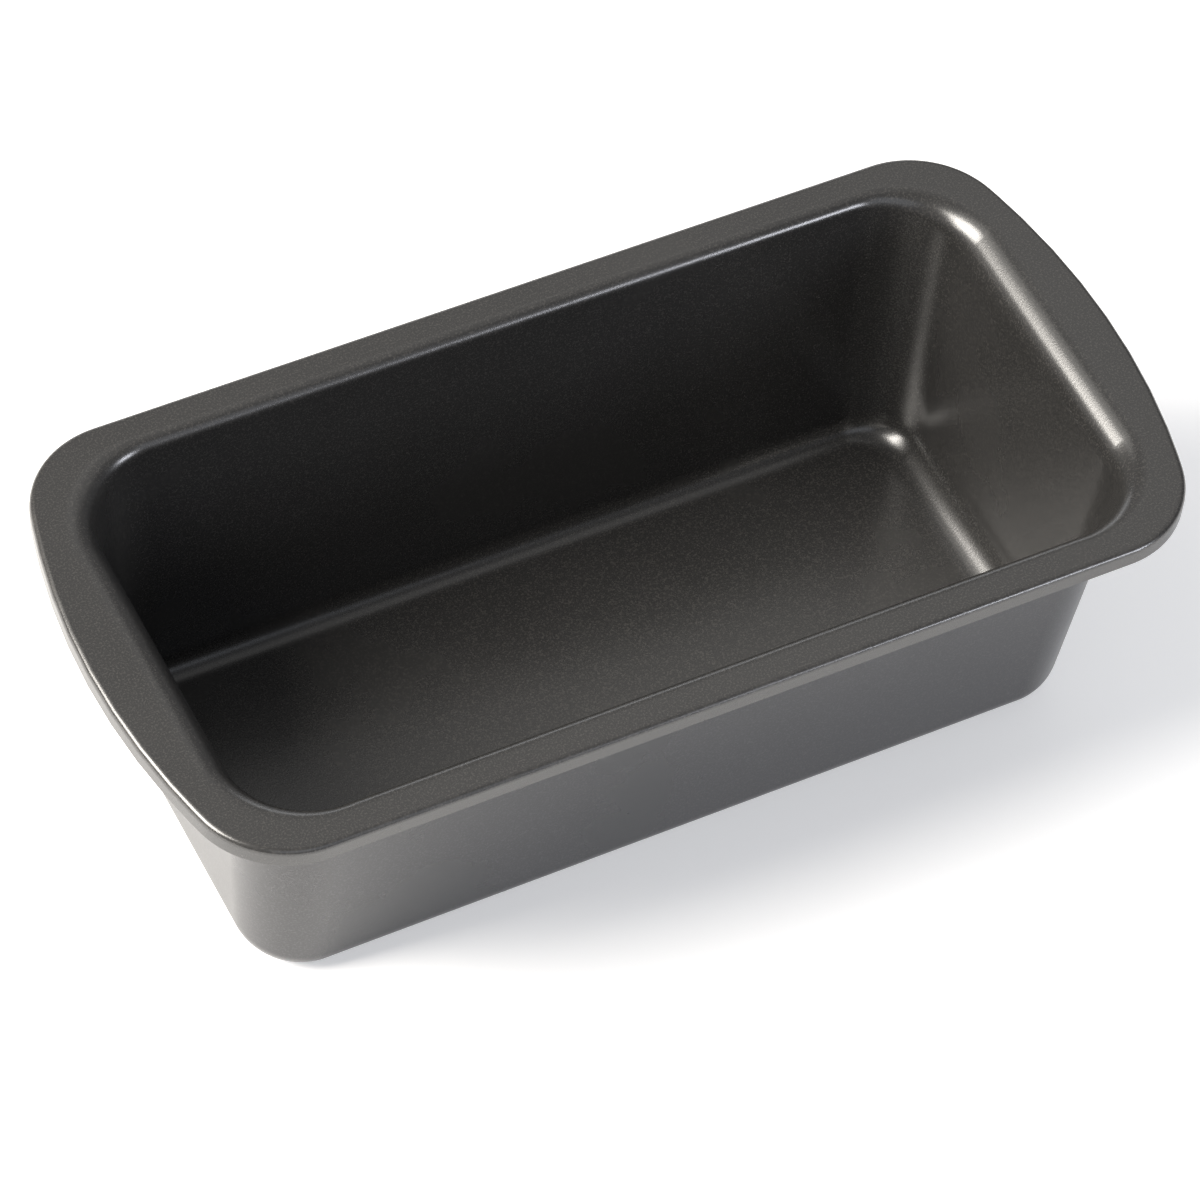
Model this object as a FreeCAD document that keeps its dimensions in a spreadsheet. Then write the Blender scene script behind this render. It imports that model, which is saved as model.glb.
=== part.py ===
import FreeCAD, Part
import math
import os
import Sketcher

# Loaf pan pressed from one coated steel sheet. Millimetres, +Z up, +X along the pan.
# The origin is the centre of the flat base, on the surface that the pan stands on.
#
# The sheet is described by four nested faces, each at its own depth below the one that
# touches the food: the food face itself, the top and the underside of the steel, and the
# outside face. Each layer of the sheet is the space between two neighbouring faces.

SIZES = {
    "pan_height": 80.0,
    # thickness of the layers, from the food outwards
    "inside_coat": 0.1,
    "steel": 0.6,
    "outside_coat": 0.1,
    # rim: a flat flange whose ends bow outwards as handles, with a turned-down skirt
    "rim_half_length": 135.0,
    "rim_half_width": 66.0,
    "rim_corner_radius": 24.8,
    "handle_bow_radius": 180.0,
    "skirt_height": 5.0,
    "shoulder_radius": 1.5,
    # well: its outline in the plane of the floor, as if its edge were sharp, and in a plane
    # that is trim_margin above the rim; the walls lean out from the first to the second
    "floor_half_length": 109.7,
    "floor_half_width": 46.8,
    "floor_corner_radius": 15.0,
    "mouth_half_length": 116.1,
    "mouth_half_width": 56.3,
    "mouth_corner_radius": 21.3,
    # bend from the walls into the floor, along the sides and at the ends
    "side_floor_bend_radius": 6.0,
    "end_floor_bend_radius": 9.5,
    # bend from the rim into the well, along the sides and at the ends
    "side_mouth_bend_radius": 3.5,
    "end_mouth_bend_radius": 9.0,
    # how far the trimming block stands clear of the pan
    "trim_margin": 3.0,
    # the film under the base ends this far inside the floor's sharp edge
    "base_film_inset": 9.0,
}

FOOD_FACE = []
STEEL_TOP = ["inside_coat"]
STEEL_UNDERSIDE = ["inside_coat", "steel"]
OUTSIDE_FACE = ["inside_coat", "steel", "outside_coat"]
TRIM_FACE = OUTSIDE_FACE + ["trim_margin"]


def value(names):
    """The sum of some cells, as a number."""
    return sum(SIZES[name] for name in names)


def formula(names):
    """The same sum, as an expression."""
    return "(" + (" + ".join("Sizes." + name for name in names) or "0") + ")"


def make_sheet(doc):
    """The spreadsheet that holds every driving dimension."""
    sheet = doc.addObject("Spreadsheet::Sheet", "Sizes")
    for row, (name, number) in enumerate(SIZES.items(), start=1):
        sheet.set(f"A{row}", name)
        sheet.set(f"B{row}", str(number))
        sheet.setAlias(f"B{row}", name)
    doc.recompute()


def sketch_at_height(body, name, height):
    """A sketch parallel to the body's XY plane, at a height given by an expression."""
    plane = next(feature for feature in body.Origin.OriginFeatures if feature.Role == "XY_Plane")
    sketch = body.newObject("Sketcher::SketchObject", name)
    sketch.AttachmentSupport = [(plane, "")]
    sketch.MapMode = "FlatFace"
    sketch.setExpression("AttachmentOffset.Base.z", height)
    return sketch


def arc(centre, radius, start, end):
    """An arc in the sketch plane between two angles in degrees."""
    circle = Part.Circle(FreeCAD.Vector(*centre, 0), FreeCAD.Vector(0, 0, 1), radius)
    return Part.ArcOfCircle(circle, math.radians(start), math.radians(end))


def line(start, end):
    return Part.LineSegment(FreeCAD.Vector(*start, 0), FreeCAD.Vector(*end, 0))


def bind_dimension(sketch, constraint, name, expression):
    """Add a dimension to a sketch, name it and bind it to the sheet."""
    index = sketch.addConstraint(constraint)
    sketch.renameConstraint(index, name)
    sketch.setExpression("Constraints." + name, expression)


def join_smoothly(sketch, count):
    """Make a closed chain of arcs and lines tangent at every joint."""
    for index in range(count):
        sketch.addConstraint(Sketcher.Constraint("Tangent", index, 2, (index + 1) % count, 1))


def draw_rounded_rectangle(sketch, level, grow, growth):
    """The well's outline at one level, grown by a number and by the same sum as an expression."""
    x, y, r = (SIZES[level + name] + grow for name in ("_half_length", "_half_width", "_corner_radius"))
    sketch.addGeometry([
        arc((x - r, y - r), r, 0, 90),
        line((x - r, y), (r - x, y)),
        arc((r - x, y - r), r, 90, 180),
        line((-x, y - r), (-x, r - y)),
        arc((r - x, r - y), r, 180, 270),
        line((r - x, -y), (x - r, -y)),
        arc((x - r, r - y), r, 270, 360),
        line((x, r - y), (x, y - r)),
    ])
    join_smoothly(sketch, 8)
    sketch.addConstraint(Sketcher.Constraint("Horizontal", 1))
    sketch.addConstraint(Sketcher.Constraint("Vertical", 3))
    for index in (2, 4, 6):
        sketch.addConstraint(Sketcher.Constraint("Equal", 0, index))
    sketch.addConstraint(Sketcher.Constraint("Symmetric", 0, 3, 4, 3, -1, 1))
    width = Sketcher.Constraint("DistanceY", 5, 1, 1, 1, 2 * y)
    length = Sketcher.Constraint("DistanceX", 3, 1, 7, 1, 2 * x)
    corner = Sketcher.Constraint("Radius", 0, r)
    bind_dimension(sketch, width, "width", f"2 * (Sizes.{level}_half_width + {growth})")
    bind_dimension(sketch, length, "length", f"2 * (Sizes.{level}_half_length + {growth})")
    bind_dimension(sketch, corner, "corner_radius", f"Sizes.{level}_corner_radius + {growth}")


def draw_rim_outline(sketch, depth):
    """The rim's outline: straight sides, bowed ends and round corners, shrunk by a depth."""
    x, y, bow, r = (SIZES[name] - value(depth) for name in (
        "rim_half_length", "rim_half_width", "handle_bow_radius", "rim_corner_radius"))
    bow_x = x - bow
    reach = math.sqrt((bow - r) ** 2 - (y - r) ** 2)
    corner_x = bow_x + reach
    turn = math.degrees(math.atan2(y - r, reach))
    sketch.addGeometry([
        arc((bow_x, 0), bow, -turn, turn),
        arc((corner_x, y - r), r, turn, 90),
        line((corner_x, y), (-corner_x, y)),
        arc((-corner_x, y - r), r, 90, 180 - turn),
        arc((-bow_x, 0), bow, 180 - turn, 180 + turn),
        arc((-corner_x, r - y), r, 180 + turn, 270),
        line((-corner_x, -y), (corner_x, -y)),
        arc((corner_x, r - y), r, 270, 360 - turn),
    ])
    join_smoothly(sketch, 8)
    for index in (3, 5, 7):
        sketch.addConstraint(Sketcher.Constraint("Equal", 1, index))
    sketch.addConstraint(Sketcher.Constraint("Equal", 0, 4))
    sketch.addConstraint(Sketcher.Constraint("Symmetric", 0, 3, 4, 3, -1, 1))
    sketch.addConstraint(Sketcher.Constraint("Symmetric", 1, 3, 7, 3, -1))
    width = Sketcher.Constraint("DistanceY", 6, 1, 2, 1, 2 * y)
    spacing = Sketcher.Constraint("DistanceX", 0, 3, 4, 3, -2 * bow_x)
    bind_dimension(sketch, width, "width", f"2 * (Sizes.rim_half_width - {formula(depth)})")
    bind_dimension(sketch, spacing, "bow_spacing", "2 * (Sizes.handle_bow_radius - Sizes.rim_half_length)")
    bow_radius = Sketcher.Constraint("Radius", 0, bow)
    corner_radius = Sketcher.Constraint("Radius", 1, r)
    bind_dimension(sketch, bow_radius, "bow_radius", f"Sizes.handle_bow_radius - {formula(depth)}")
    bind_dimension(sketch, corner_radius, "corner_radius", f"Sizes.rim_corner_radius - {formula(depth)}")


def is_level(item, height):
    """Whether a face or an edge lies flat at a height."""
    return max(abs(item.BoundBox.ZMin - height), abs(item.BoundBox.ZMax - height)) < 0.001


def make_rim_block(doc, name, depth):
    """A solid block under one face of the rim: a pad of its outline with a round shoulder."""
    body = doc.addObject("PartDesign::Body", name + "_block")
    sketch = sketch_at_height(body, name + "_outline", "0 - Sizes.trim_margin")
    draw_rim_outline(sketch, depth)
    pad = body.newObject("PartDesign::Pad", name + "_pad")
    pad.Profile = sketch
    pad.setExpression("Length", f"Sizes.pan_height + Sizes.trim_margin - {formula(depth)}")
    doc.recompute()
    top = SIZES["pan_height"] - value(depth)
    faces = enumerate(pad.Shape.Faces, start=1)
    shoulder = body.newObject("PartDesign::Fillet", name + "_shoulder")
    shoulder.Base = (pad, [f"Face{number}" for number, face in faces if is_level(face, top)])
    shoulder.setExpression("Radius", f"Sizes.shoulder_radius - {formula(depth)}")
    doc.recompute()
    return body


def bend_radii(edge, end_x, side_radius, end_radius):
    """The bend's radius at the two ends of an edge; it changes round the corners."""
    points = [edge.firstVertex(True).Point, edge.lastVertex(True).Point]
    return [end_radius if abs(point.x) > end_x - 1 else side_radius for point in points]


def floor_bend_edges(shape, depth):
    """The edges round the floor, each with the bend's radius at its two ends."""
    bottom = value(OUTSIDE_FACE) - value(depth)
    end_x = SIZES["floor_half_length"] + value(depth)
    side_radius = SIZES["side_floor_bend_radius"] + value(depth)
    end_radius = SIZES["end_floor_bend_radius"] + value(depth)
    edges = []
    for number, edge in enumerate(shape.Edges, start=1):
        if is_level(edge, bottom):
            edges.append((number, *bend_radii(edge, end_x, side_radius, end_radius)))
    return edges


def make_sharp_well(doc, name, depth):
    """The hollow above one face with a sharp floor edge: a loft from its floor to its mouth."""
    outlines = []
    heights = {
        "floor": f"{formula(OUTSIDE_FACE)} - {formula(depth)}",
        "mouth": "Sizes.pan_height + Sizes.trim_margin",
    }
    for level, height in heights.items():
        outline = doc.addObject("Sketcher::SketchObject", f"{name}_{level}")
        outline.setExpression("Placement.Base.z", height)
        draw_rounded_rectangle(outline, level, value(depth), formula(depth))
        outlines.append(outline)
    well = doc.addObject("Part::Loft", name + "_sharp_well")
    well.Sections = outlines
    well.Solid = True
    well.Ruled = True
    doc.recompute()
    return well


def make_well(doc, name, depth):
    """The hollow above one face, with the bend from its walls into its floor."""
    sharp_well = make_sharp_well(doc, name, depth)
    well = doc.addObject("Part::Fillet", name + "_well")
    well.Base = sharp_well
    well.Edges = floor_bend_edges(sharp_well.Shape, depth)
    doc.recompute()
    return well


def mouth_bend_edges(shape, depth):
    """The edges round the mouth, each with the bend's radius at its two ends."""
    top = SIZES["pan_height"] - value(depth)
    end_x = SIZES["mouth_half_length"] + value(depth)
    side_y = SIZES["mouth_half_width"] + value(depth)
    side_radius = SIZES["side_mouth_bend_radius"] - value(depth)
    end_radius = SIZES["end_mouth_bend_radius"] - value(depth)
    edges = []
    for number, edge in enumerate(shape.Edges, start=1):
        points = [vertex.Point for vertex in edge.Vertexes]
        in_mouth = all(abs(point.x) < end_x + 0.1 and abs(point.y) < side_y + 0.1 for point in points)
        if is_level(edge, top) and in_mouth:
            edges.append((number, *bend_radii(edge, end_x, side_radius, end_radius)))
    return edges


def make_face_solid(doc, name, depth):
    """Everything below one face of the sheet, with the bend from the rim into the well."""
    cut = doc.addObject("Part::Cut", name + "_cut")
    cut.Base = make_rim_block(doc, name, depth)
    cut.Tool = make_well(doc, name, depth)
    doc.recompute()
    bend = doc.addObject("Part::Fillet", name + "_bend")
    bend.Base = cut
    bend.Edges = mouth_bend_edges(cut.Shape, depth)
    doc.recompute()
    return bend


def make_trim(doc):
    """The space that the sheet may fill: the well, and the rim down to the skirt's lower edge."""
    slab = doc.addObject("Part::Box", "rim_slab")
    slab.setExpression("Length", "2 * (Sizes.rim_half_length + Sizes.trim_margin)")
    slab.setExpression("Width", "2 * (Sizes.rim_half_width + Sizes.trim_margin)")
    slab.setExpression("Height", "Sizes.skirt_height + Sizes.trim_margin")
    slab.setExpression("Placement.Base.x", "0 - Sizes.rim_half_length - Sizes.trim_margin")
    slab.setExpression("Placement.Base.y", "0 - Sizes.rim_half_width - Sizes.trim_margin")
    slab.setExpression("Placement.Base.z", "Sizes.pan_height - Sizes.skirt_height")
    trim = doc.addObject("Part::Fuse", "trim")
    trim.Base = slab
    trim.Tool = make_sharp_well(doc, "trim", TRIM_FACE)
    doc.recompute()
    return trim


def make_layer(doc, name, upper, lower, trim):
    """The layer between two faces of the sheet."""
    between = doc.addObject("Part::Cut", name + "_between")
    between.Base = upper
    between.Tool = lower
    layer = doc.addObject("Part::Common", name)
    layer.Base = between
    layer.Tool = trim
    doc.recompute()
    return layer


def make_base_coating(doc):
    """The flat film under the base, which the pan stands on."""
    body = doc.addObject("PartDesign::Body", "base_coating")
    outline = sketch_at_height(body, "base_outline", "0")
    draw_rounded_rectangle(outline, "floor", -SIZES["base_film_inset"], "(0 - Sizes.base_film_inset)")
    film = body.newObject("PartDesign::Pad", "base_film")
    film.Profile = outline
    film.setExpression("Length", "Sizes.outside_coat")
    doc.recompute()
    return body


def make_outside_coating(doc, film, base_coating):
    """The film outside the walls and under the rim, without the flat film under the base."""
    coating = doc.addObject("Part::Cut", "outside_coating")
    coating.Base = film
    coating.Tool = base_coating
    doc.recompute()
    return coating


def check_document(doc, parts):
    """Stop if any object failed or any sub-part is not one sound solid."""
    for item in doc.Objects:
        if "Invalid" in item.State or "Error" in item.State:
            raise RuntimeError(f"{item.Name} failed: {item.State}")
    for part in parts:
        shape = part.Shape
        if shape.isNull() or not shape.isValid() or len(shape.Solids) != 1:
            raise RuntimeError(f"{part.Label} is not one sound solid")


def main():
    doc = FreeCAD.newDocument("loaf_pan")
    make_sheet(doc)
    food_face = make_face_solid(doc, "food_face", FOOD_FACE)
    steel_top = make_face_solid(doc, "steel_top", STEEL_TOP)
    steel_underside = make_face_solid(doc, "steel_underside", STEEL_UNDERSIDE)
    outside_face = make_face_solid(doc, "outside_face", OUTSIDE_FACE)
    trim = make_trim(doc)
    base_coating = make_base_coating(doc)
    outside_film = make_layer(doc, "outside_film", steel_underside, outside_face, trim)
    parts = [
        make_layer(doc, "inside_coating", food_face, steel_top, trim),
        make_layer(doc, "steel_shell", steel_top, steel_underside, trim),
        make_outside_coating(doc, outside_film, base_coating),
        base_coating,
    ]
    for part in parts:
        part.Label = part.Name
        part.Placement = FreeCAD.Placement()
    doc.recompute()
    check_document(doc, parts)
    os.makedirs("parts", exist_ok=True)
    for part in parts:
        part.Shape.exportStep(f"parts/{part.Label}.step")
        print(part.Label, round(part.Shape.Volume, 1), "mm3")


main()
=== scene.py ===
import functools
import math

import bpy
from mathutils import Matrix, Vector


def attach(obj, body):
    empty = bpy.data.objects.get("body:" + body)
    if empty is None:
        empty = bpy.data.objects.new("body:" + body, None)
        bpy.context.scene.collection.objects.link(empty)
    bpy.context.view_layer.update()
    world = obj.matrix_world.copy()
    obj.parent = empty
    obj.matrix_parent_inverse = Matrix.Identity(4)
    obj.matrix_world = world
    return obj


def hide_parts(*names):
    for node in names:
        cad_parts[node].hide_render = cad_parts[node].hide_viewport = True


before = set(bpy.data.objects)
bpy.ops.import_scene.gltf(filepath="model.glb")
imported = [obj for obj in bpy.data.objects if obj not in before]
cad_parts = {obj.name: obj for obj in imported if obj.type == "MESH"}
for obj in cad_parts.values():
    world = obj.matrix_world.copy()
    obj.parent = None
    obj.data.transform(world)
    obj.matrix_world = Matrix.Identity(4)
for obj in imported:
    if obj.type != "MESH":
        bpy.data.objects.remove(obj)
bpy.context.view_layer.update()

MM = 0.001
QUARTER_TURN = math.radians(90.0)
PAN_MIDDLE = (0.0, 0.0, 0.04)

# The pan's plan and section, in millimetres, on the side that meets the food.
PAN_HEIGHT = 80.0
SKIRT_HEIGHT = 5.0
SHOULDER_RADIUS = 1.5
SHEET_LAYERS = {"inside": (0.0, 0.1), "steel": (0.1, 0.7), "outside": (0.7, 0.8)}
SHEET_THICKNESS = 0.8

FLOOR_OUTLINE = (109.7, 46.8, 15.0)
MOUTH_OUTLINE = (116.1, 56.3, 21.3)
MOUTH_OUTLINE_HEIGHT = 83.0
# Bend radii at the ends and along the sides; each changes evenly round the corners.
FLOOR_BEND_RADII = (9.5, 6.0)
MOUTH_BEND_RADII = (9.0, 3.5)

RIM_HALF_LENGTH = 135.0
RIM_HALF_WIDTH = 66.0
RIM_CORNER_RADIUS = 24.8
HANDLE_BOW_RADIUS = 180.0

# How finely the sheet is divided.
CORNER_STEPS = 24
BEND_STEPS = 12
SHOULDER_STEPS = 8
WALL_LEVELS = (0.01, 0.05, 0.15, 0.3, 0.45, 0.6, 0.75, 0.88, 0.96, 0.992)
HALF_SIDE_SHARES = (0.0, 0.25, 0.5, 0.75, 0.93, 0.992)
FLOOR_RINGS = (0.985, 0.9, 0.75, 0.55, 0.35, 0.15)
FLANGE_SHARES = (0.0, 0.04, 0.25, 0.5, 0.75, 0.96)
SKIRT_SHARES = (0.1, 0.5, 0.97, 1.0)

# How much the mouth's bend and the skirt's rings are rubbed; the shoulder's middle has 1.
MOUTH_RUB = 0.10
SKIRT_RUBS = (0.0, 0.0, 0.5, 1.0)

# Sizes of the coats' patterns, as noise scales.
CLOUD_SCALE = 18.0
GRAIN_SCALE = 2000.0
RUB_PATCH_SCALE = 420.0
STEEL_STREAK_SCALE = 900.0

# The colour sockets of a mix node set to colours.
MIX_FACTOR, MIX_ONE, MIX_OTHER, MIX_RESULT = 0, 6, 7, 2

STUDIO_FLOOR_REACH = 6.0
# Just under the pan's base, so that the two faces don't coincide.
STUDIO_FLOOR_LEVEL = -0.0004

LENS_MM = 187.54
CAMERA_PLACE = (-0.48816, -0.78050, 1.23116)
CAMERA_RIGHT = (0.89100, -0.44841, 0.07109)
CAMERA_UP = (0.31838, 0.72874, 0.60628)
CAMERA_BACK = (-0.32367, -0.51756, 0.79207)

# Each light's name, place, width, height, watts and colour.
LIGHTS = (
    ("left_softbox", (-1.04, 0.33, 0.99), 0.90, 0.78, 50.0, (1.0, 0.955, 0.89)),
    ("left_sail", (-0.56, 0.60, 1.26), 0.95, 0.70, 3.4, (1.0, 0.97, 0.92)),
    ("front_softbox", (0.64, -1.00, 0.37), 0.34, 0.30, 6.0, (0.90, 0.92, 1.0)),
    ("front_fill", (-0.20, -1.20, 0.95), 1.20, 0.90, 3.0, (0.84, 0.89, 1.0)),
    ("high_softbox", (0.70, 0.25, 1.28), 1.30, 1.30, 2.0, (1.0, 0.98, 0.95)),
    ("back_strip", (0.45, 1.25, 0.40), 0.90, 0.26, 1.5, (0.95, 0.97, 1.0)),
    ("back_softbox", (0.48, 0.82, 1.16), 0.80, 0.80, 0.50, (1.0, 0.98, 0.95)),
)


# ---------------------------------------------------------------- plan curves

def quadrant_angles():
    """The corner's outward directions, from the end of the pan round to its side."""
    return [QUARTER_TURN * i / CORNER_STEPS for i in range(CORNER_STEPS + 1)]


def quadrant_of_rectangle(half_length, half_width, radius):
    """(point, outward angle) from the middle of the end round to the middle of the side."""
    centre = Vector((half_length - radius, half_width - radius))
    points = []
    for share in HALF_SIDE_SHARES:
        points.append((Vector((half_length, share * centre.y)), 0.0))
    for angle in quadrant_angles():
        points.append((centre + radius * Vector((math.cos(angle), math.sin(angle))), angle))
    for share in reversed(HALF_SIDE_SHARES):
        points.append((Vector((share * centre.x, half_width)), QUARTER_TURN))
    return points


def quadrant_of_rim(shrink):
    """The rim's outline, shrunk by that much, with the same number of points as a rectangle's."""
    bow = HANDLE_BOW_RADIUS - shrink
    corner = RIM_CORNER_RADIUS - shrink
    half_width = RIM_HALF_WIDTH - shrink
    bow_centre_x = RIM_HALF_LENGTH - HANDLE_BOW_RADIUS
    reach = HANDLE_BOW_RADIUS - RIM_CORNER_RADIUS
    centre_y = RIM_HALF_WIDTH - RIM_CORNER_RADIUS
    meeting = math.asin(centre_y / reach)
    centre = Vector((bow_centre_x + reach * math.cos(meeting), centre_y))
    points = []
    for share in HALF_SIDE_SHARES:
        angle = share * meeting
        points.append((Vector((bow_centre_x + bow * math.cos(angle), bow * math.sin(angle))), angle))
    for turn in quadrant_angles():
        angle = meeting + (QUARTER_TURN - meeting) * turn / QUARTER_TURN
        points.append((centre + corner * Vector((math.cos(angle), math.sin(angle))), angle))
    for share in reversed(HALF_SIDE_SHARES):
        points.append((Vector((share * centre.x, half_width)), QUARTER_TURN))
    return points


def whole_ring(quadrant):
    """The four mirrored quadrants as one closed ring of (point, angle)."""
    first = list(quadrant)
    second = [(Vector((-p.x, p.y)), a) for p, a in reversed(first[1:-1])]
    upper = [first[0]] + first[1:] + second + [(Vector((-first[0][0].x, first[0][0].y)), first[0][1])]
    lower = [(Vector((p.x, -p.y)), a) for p, a in reversed(upper[1:-1])]
    return upper + lower


# ---------------------------------------------------------------- sections

def well_outline(level, grow):
    """The well's outline at that height, as (half length, half width, corner radius)."""
    low = SHEET_THICKNESS - grow
    share = (level - low) / (MOUTH_OUTLINE_HEIGHT - low)
    return [a + (b - a) * share + grow for a, b in zip(FLOOR_OUTLINE, MOUTH_OUTLINE)]


def lean_at(angle, grow):
    """The wall's lean outwards per millimetre of height, facing that way."""
    rise = MOUTH_OUTLINE_HEIGHT - (SHEET_THICKNESS - grow)
    d_length, d_width, d_radius = [(b - a) / rise for a, b in zip(FLOOR_OUTLINE, MOUTH_OUTLINE)]
    return (d_length - d_radius) * math.cos(angle) + (d_width - d_radius) * math.sin(angle) + d_radius


def bend_radius(radii, angle):
    """The radius of a bend in that direction, between those at the ends and along the sides."""
    at_end, at_side = radii
    return at_end + (at_side - at_end) * angle / QUARTER_TURN


@functools.lru_cache(maxsize=None)
def well_ring(level, grow):
    """The well's outline at that height, as a closed ring of (point, angle)."""
    return whole_ring(quadrant_of_rectangle(*well_outline(level, grow)))


def outward(point, angle):
    """The outward direction in plan, in the quadrant that the point is in."""
    return Vector((
        math.copysign(math.cos(angle), point.x),
        math.copysign(math.sin(angle), point.y),
    ))


def well_station(place, grow):
    """One ring of the well, from a function that gives each direction's (level, push)."""
    ring = []
    for index, (_, angle) in enumerate(well_ring(SHEET_THICKNESS, grow)):
        level, push = place(angle)
        point, _ = well_ring(level, grow)[index]
        out = outward(point, angle)
        ring.append(Vector((point.x + out.x * push, point.y + out.y * push, level)))
    return ring


def floor_bend_station(turn, grow):
    """A ring round the floor bend; turn runs from 0 at the floor to 1 at the wall."""
    low = SHEET_THICKNESS - grow

    def place(angle):
        radius = bend_radius(FLOOR_BEND_RADII, angle) + grow
        draft = math.atan(lean_at(angle, grow))
        swing = (QUARTER_TURN - draft) * turn
        centre = math.tan(draft) * radius - radius / math.cos(draft)
        rise = radius - radius * math.cos(swing)
        across = centre + radius * math.sin(swing)
        return low + rise, across - math.tan(draft) * rise

    return well_station(place, grow)


def mouth_bend_station(turn, grow):
    """A ring round the mouth bend; turn runs from 0 at the wall to 1 at the flange."""

    def place(angle):
        draft = math.atan(lean_at(angle, grow))
        radius = bend_radius(MOUTH_BEND_RADII, angle) - grow
        low = PAN_HEIGHT - grow - radius
        swing = draft + (QUARTER_TURN - draft) * turn
        rise = radius * math.sin(swing)
        across = radius / math.cos(draft) - radius * math.cos(swing)
        return low + rise, across - math.tan(draft) * rise

    return well_station(place, grow)


def wall_station(share, grow):
    """A ring on the wall; share runs from 0 at the floor bend to 1 at the mouth bend."""

    def place(angle):
        draft = math.atan(lean_at(angle, grow))
        low_radius = bend_radius(FLOOR_BEND_RADII, angle) + grow
        low = SHEET_THICKNESS - grow + low_radius * (1.0 - math.sin(draft))
        radius = bend_radius(MOUTH_BEND_RADII, angle) - grow
        high = PAN_HEIGHT - grow - radius * (1.0 - math.sin(draft))
        return low + (high - low) * share, 0.0

    return well_station(place, grow)


def rim_station(turn, grow):
    """A ring round the rim's shoulder; turn runs from 0 at the flange to 1 at the skirt."""
    radius = SHOULDER_RADIUS - grow
    swing = QUARTER_TURN * turn
    shrink = grow + radius * (1.0 - math.sin(swing))
    level = PAN_HEIGHT - grow - radius * (1.0 - math.cos(swing))
    return [Vector((p.x, p.y, level)) for p, _ in whole_ring(quadrant_of_rim(shrink))]


def skirt_station(level, grow):
    """A ring on the skirt at that height."""
    return [Vector((p.x, p.y, level)) for p, _ in whole_ring(quadrant_of_rim(grow))]


def between(one, other, share):
    """The ring that lies that share of the way from one ring to another."""
    return [a.lerp(b, share) for a, b in zip(one, other)]


def face_stations(grow):
    """One face of the sheet as rings, from the middle of the floor to the skirt's lower edge."""
    floor_edge = floor_bend_station(0.0, grow)
    centre = Vector((0.0, 0.0, SHEET_THICKNESS - grow))
    rings = [[centre.lerp(p, share) for p in floor_edge] for share in reversed(FLOOR_RINGS)]
    rings += [floor_bend_station(i / BEND_STEPS, grow) for i in range(BEND_STEPS + 1)]
    rings += [wall_station(share, grow) for share in WALL_LEVELS]
    rings += [mouth_bend_station(i / BEND_STEPS, grow) for i in range(BEND_STEPS)]
    mouth_edge = mouth_bend_station(1.0, grow)
    rim_edge = rim_station(0.0, grow)
    rings += [between(mouth_edge, rim_edge, share) for share in FLANGE_SHARES]
    rings += [rim_station(i / SHOULDER_STEPS, grow) for i in range(SHOULDER_STEPS + 1)]
    skirt_top = PAN_HEIGHT - SHOULDER_RADIUS
    skirt_low = PAN_HEIGHT - SKIRT_HEIGHT
    rings += [skirt_station(skirt_top + (skirt_low - skirt_top) * s, grow) for s in SKIRT_SHARES]
    return rings


def station_wear():
    """How much each ring of a face is rubbed in use, from 0 to 1, in the order of the rings."""
    mouth = [MOUTH_RUB * math.sin(math.pi * i / BEND_STEPS) for i in range(BEND_STEPS)]
    shoulder = [math.sin(math.pi * i / SHOULDER_STEPS) for i in range(SHOULDER_STEPS + 1)]
    below_mouth = len(FLOOR_RINGS) + BEND_STEPS + 1 + len(WALL_LEVELS)
    return [0.0] * below_mouth + mouth + [0.0] * len(FLANGE_SHARES) + shoulder + list(SKIRT_RUBS)


# ---------------------------------------------------------------- meshes

def strip_faces(start, rings, count, flip):
    """Quads between the neighbours in a run of rings."""
    faces = []
    for k in range(rings - 1):
        first = start + k * count
        for i in range(count):
            j = (i + 1) % count
            quad = (first + i, first + j, first + count + j, first + count + i)
            faces.append(quad[::-1] if flip else quad)
    return faces


def fan_faces(middle, start, count, flip):
    """Triangles from a middle point to the ring round it."""
    faces = []
    for i in range(count):
        triangle = (middle, start + i, start + (i + 1) % count)
        faces.append(triangle[::-1] if flip else triangle)
    return faces


def edge_faces(upper, lower, count):
    """Quads that close the sheet along the skirt's lower edge."""
    faces = []
    for i in range(count):
        j = (i + 1) % count
        faces.append((upper + i, lower + i, lower + j, upper + j))
    return faces


def sheet_mesh(name, grow_in, grow_out):
    """A closed layer of the sheet between two of its faces."""
    upper = face_stations(grow_in)
    lower = face_stations(grow_out)
    count = len(upper[0])
    rings = len(upper)
    lower_start = rings * count
    upper_middle = 2 * lower_start
    lower_middle = upper_middle + 1
    points = [point for ring in upper + lower for point in ring]
    points += [Vector((0.0, 0.0, SHEET_THICKNESS - grow)) for grow in (grow_in, grow_out)]
    faces = strip_faces(0, rings, count, True)
    faces += strip_faces(lower_start, rings, count, False)
    faces += fan_faces(upper_middle, 0, count, False)
    faces += fan_faces(lower_middle, lower_start, count, True)
    faces += edge_faces(lower_start - count, upper_middle - count, count)

    mesh = bpy.data.meshes.new(name)
    mesh.from_pydata([tuple(point * MM) for point in points], [], faces)
    mesh.validate()
    per_ring = station_wear()
    rubbed = [amount for amount in per_ring + per_ring for _ in range(count)] + [0.0, 0.0]
    mesh.attributes.new("wear", "FLOAT", "POINT").data.foreach_set("value", rubbed)
    return mesh


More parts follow.
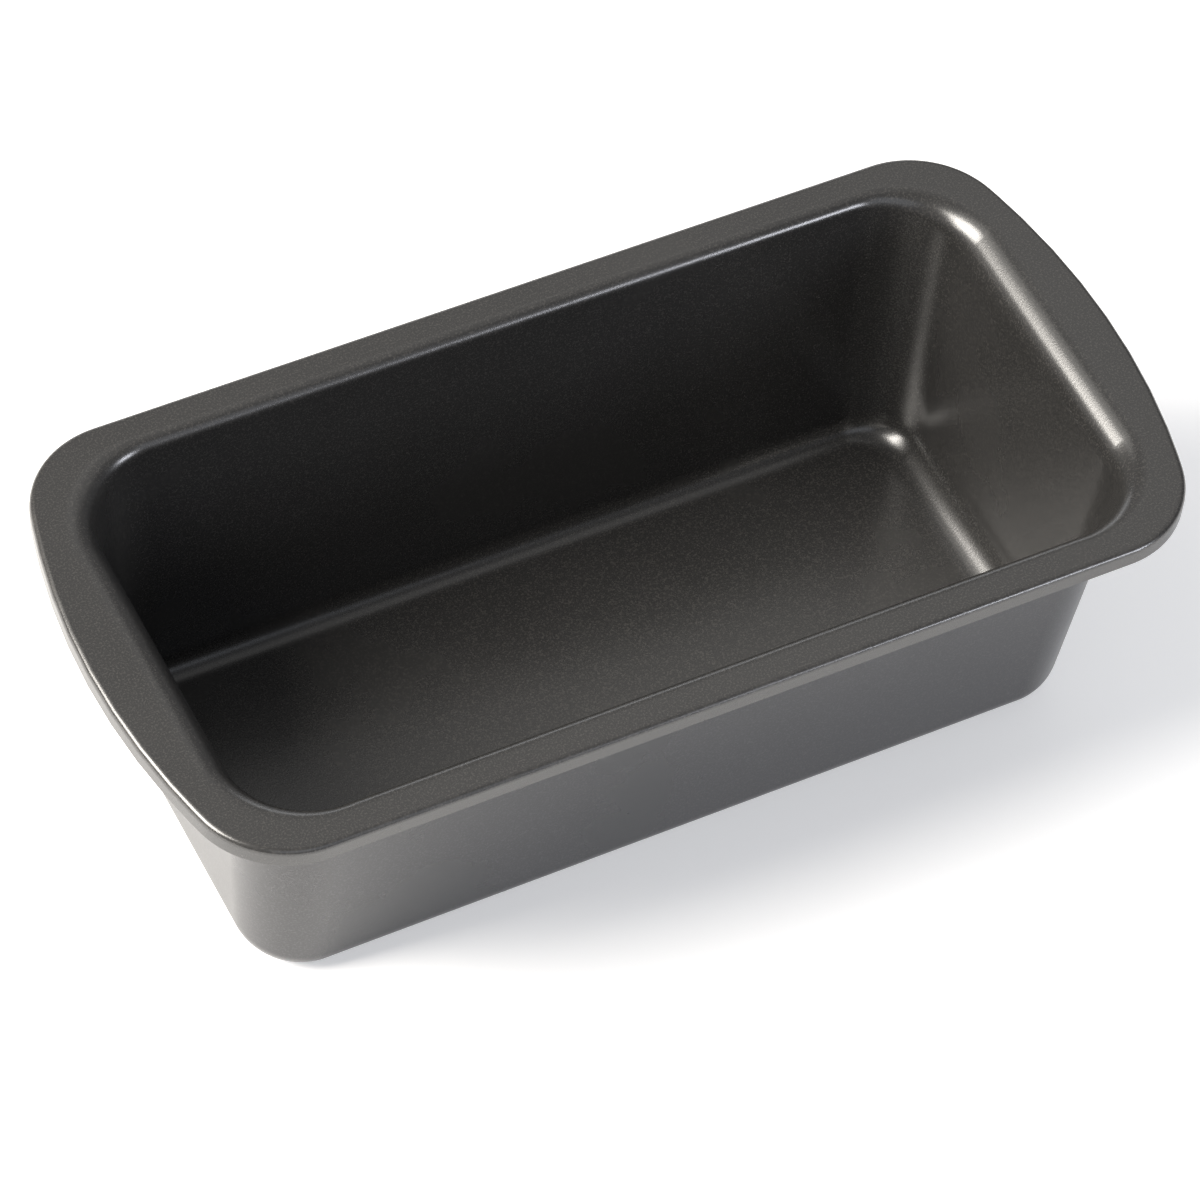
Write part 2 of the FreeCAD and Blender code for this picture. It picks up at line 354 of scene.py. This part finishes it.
def place_piece(mesh, nodes, material):
    """A smooth visible piece on the pan's body, in place of those CAD nodes."""
    piece = bpy.data.objects.new(mesh.name, mesh)
    bpy.context.scene.collection.objects.link(piece)
    for polygon in mesh.polygons:
        polygon.use_smooth = True
    mesh.set_sharp_from_angle(angle=math.radians(40.0))
    mesh.materials.append(material)
    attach(piece, "root")
    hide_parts(*nodes)
    return piece


# ---------------------------------------------------------------- materials

def new_material(name):
    """A node material, with its tree and its main shader."""
    material = bpy.data.materials.new(name)
    material.use_nodes = True
    tree = material.node_tree
    shader = next(n for n in tree.nodes if n.type == "BSDF_PRINCIPLED")
    return material, tree, shader


def noise(tree, scale, detail, roughness):
    """Noise fixed to the piece, from 0 to 1."""
    coordinates = tree.nodes.new("ShaderNodeTexCoord")
    texture = tree.nodes.new("ShaderNodeTexNoise")
    texture.inputs["Scale"].default_value = scale
    texture.inputs["Detail"].default_value = detail
    texture.inputs["Roughness"].default_value = roughness
    tree.links.new(coordinates.outputs["Object"], texture.inputs["Vector"])
    return texture.outputs["Fac"]


def ramp(tree, source, *stops):
    """A colour ramp over (position, colour) stops."""
    node = tree.nodes.new("ShaderNodeValToRGB")
    elements = node.color_ramp.elements
    while len(elements) > 1:
        elements.remove(elements[-1])
    elements[0].position, elements[0].color = stops[0][0], (*stops[0][1], 1.0)
    for position, colour in stops[1:]:
        elements.new(position).color = (*colour, 1.0)
    tree.links.new(source, node.inputs["Fac"])
    return node.outputs["Color"]


def spread(tree, source, low, high, to_low, to_high):
    """The source, with the range low to high stretched to a new range and cut off past it."""
    node = tree.nodes.new("ShaderNodeMapRange")
    for socket, number in zip(("From Min", "From Max", "To Min", "To Max"), (low, high, to_low, to_high)):
        node.inputs[socket].default_value = number
    tree.links.new(source, node.inputs["Value"])
    return node.outputs["Result"]


def mix_colours(tree, factor, one, other):
    """One colour turned into another by a factor; each is a socket or a constant."""
    node = tree.nodes.new("ShaderNodeMix")
    node.data_type = "RGBA"
    for number, given in ((MIX_FACTOR, factor), (MIX_ONE, one), (MIX_OTHER, other)):
        socket = node.inputs[number]
        if isinstance(given, bpy.types.NodeSocket):
            tree.links.new(given, socket)
        else:
            socket.default_value = (*given, 1.0)
    return node.outputs[MIX_RESULT]


def bump(tree, shader, source, strength, distance):
    """Unevenness of the surface, so many metres deep."""
    node = tree.nodes.new("ShaderNodeBump")
    node.inputs["Strength"].default_value = strength
    node.inputs["Distance"].default_value = distance
    tree.links.new(source, node.inputs["Height"])
    tree.links.new(node.outputs["Normal"], shader.inputs["Normal"])


def worn_amount(tree):
    """Patches along the edges where the coat is rubbed thin."""
    attribute = tree.nodes.new("ShaderNodeAttribute")
    attribute.attribute_name = "wear"
    patches = spread(tree, noise(tree, RUB_PATCH_SCALE, 4.0, 0.6), 0.45, 0.70, 0.05, 0.22)
    product = tree.nodes.new("ShaderNodeMath")
    product.operation = "MULTIPLY"
    tree.links.new(attribute.outputs["Fac"], product.inputs[0])
    tree.links.new(patches, product.inputs[1])
    return product.outputs[0]


def coating_material(name, base, fleck, metallic, low_roughness, high_roughness, gloss):
    """A sprayed and baked coat: fine bright flecks, cloudy tone and a slightly pebbled surface."""
    material, tree, shader = new_material(name)
    cloud = noise(tree, CLOUD_SCALE, 4.0, 0.6)
    grain = noise(tree, GRAIN_SCALE, 1.0, 0.7)
    cloudy = ramp(tree, cloud, (0.3, [c * 0.9 for c in base]), (0.7, [c * 1.1 for c in base]))
    flecked = mix_colours(tree, spread(tree, grain, 0.50, 0.70, 0.0, 0.55), cloudy, fleck)
    worn = worn_amount(tree)
    colour = mix_colours(tree, worn, flecked, [1.7 * c for c in fleck])
    tree.links.new(colour, shader.inputs["Base Color"])
    shader.inputs["Metallic"].default_value = metallic
    shader.inputs["Specular IOR Level"].default_value = gloss
    rough = spread(tree, cloud, 0.3, 0.7, low_roughness, high_roughness)
    tree.links.new(rough, shader.inputs["Roughness"])
    bump(tree, shader, grain, 0.25, 0.00006)
    return material


def steel_material():
    """Bare cut steel, seen only along the skirt's lower edge."""
    material, tree, shader = new_material("bare_steel")
    streaks = noise(tree, STEEL_STREAK_SCALE, 3.0, 0.6)
    colour = ramp(tree, streaks, (0.35, (0.33, 0.33, 0.33)), (0.65, (0.52, 0.52, 0.51)))
    tree.links.new(colour, shader.inputs["Base Color"])
    shader.inputs["Metallic"].default_value = 1.0
    tree.links.new(spread(tree, streaks, 0.3, 0.7, 0.3, 0.5), shader.inputs["Roughness"])
    bump(tree, shader, streaks, 0.2, 0.00003)
    return material


inside_material = coating_material(
    "inside_nonstick", (0.021, 0.0206, 0.0202), (0.062, 0.059, 0.055), 0.0, 0.23, 0.29, 0.8)
outside_material = coating_material(
    "outside_coat", (0.042, 0.0416, 0.0435), (0.095, 0.095, 0.098), 0.38, 0.25, 0.31, 0.5)

place_piece(
    sheet_mesh("inside_film", *SHEET_LAYERS["inside"]),
    ["inside_coating"], inside_material)
place_piece(
    sheet_mesh("steel_sheet", *SHEET_LAYERS["steel"]),
    ["steel_shell"], steel_material())
place_piece(
    sheet_mesh("outside_film", *SHEET_LAYERS["outside"]),
    ["outside_coating", "base_coating"], outside_material)


# ---------------------------------------------------------------- the room

def stage_material():
    """Matt white that glows a little, for an even pale ground."""
    material, _, shader = new_material("studio_white")
    shader.inputs["Base Color"].default_value = (0.9, 0.9, 0.9, 1.0)
    shader.inputs["Roughness"].default_value = 0.9
    shader.inputs["Emission Color"].default_value = (1.0, 1.0, 1.0, 1.0)
    shader.inputs["Emission Strength"].default_value = 0.32
    return material


def make_floor():
    """The pale ground that the pan stands on."""
    mesh = bpy.data.meshes.new("studio_floor")
    reach = STUDIO_FLOOR_REACH
    low = STUDIO_FLOOR_LEVEL
    mesh.from_pydata(
        [(-reach, -reach, low), (reach, -reach, low), (reach, reach, low), (-reach, reach, low)],
        [], [(0, 1, 2, 3)])
    floor = bpy.data.objects.new("studio_floor", mesh)
    bpy.context.scene.collection.objects.link(floor)
    mesh.materials.append(stage_material())


def make_light(name, place, width, height, watts, colour):
    """A soft rectangular light that faces the middle of the pan."""
    lamp = bpy.data.lights.new(name, "AREA")
    lamp.color = colour
    lamp.shape = "RECTANGLE"
    lamp.size = width
    lamp.size_y = height
    lamp.energy = watts
    light = bpy.data.objects.new(name, lamp)
    bpy.context.scene.collection.objects.link(light)
    light.location = place
    direction = Vector(PAN_MIDDLE) - Vector(place)
    light.rotation_mode = "QUATERNION"
    light.rotation_quaternion = direction.to_track_quat("-Z", "Y")


def make_world():
    """A weak, slightly cool light from all round."""
    world = bpy.data.worlds.new("studio")
    world.use_nodes = True
    background = world.node_tree.nodes["Background"]
    background.inputs["Color"].default_value = (0.96, 0.97, 1.0, 1.0)
    background.inputs["Strength"].default_value = 0.20
    bpy.context.scene.world = world


def make_camera():
    """A long lens that looks down along the pan from its front left."""
    lens = bpy.data.cameras.new("camera")
    lens.sensor_width = 36.0
    lens.sensor_fit = "HORIZONTAL"
    lens.lens = LENS_MM
    camera = bpy.data.objects.new("camera", lens)
    bpy.context.scene.collection.objects.link(camera)
    turn = Matrix((CAMERA_RIGHT, CAMERA_UP, CAMERA_BACK)).transposed().to_4x4()
    camera.matrix_world = Matrix.Translation(Vector(CAMERA_PLACE)) @ turn
    bpy.context.scene.camera = camera


make_floor()
make_world()
for light in LIGHTS:
    make_light(*light)
make_camera()

bpy.context.scene.view_settings.view_transform = "Standard"
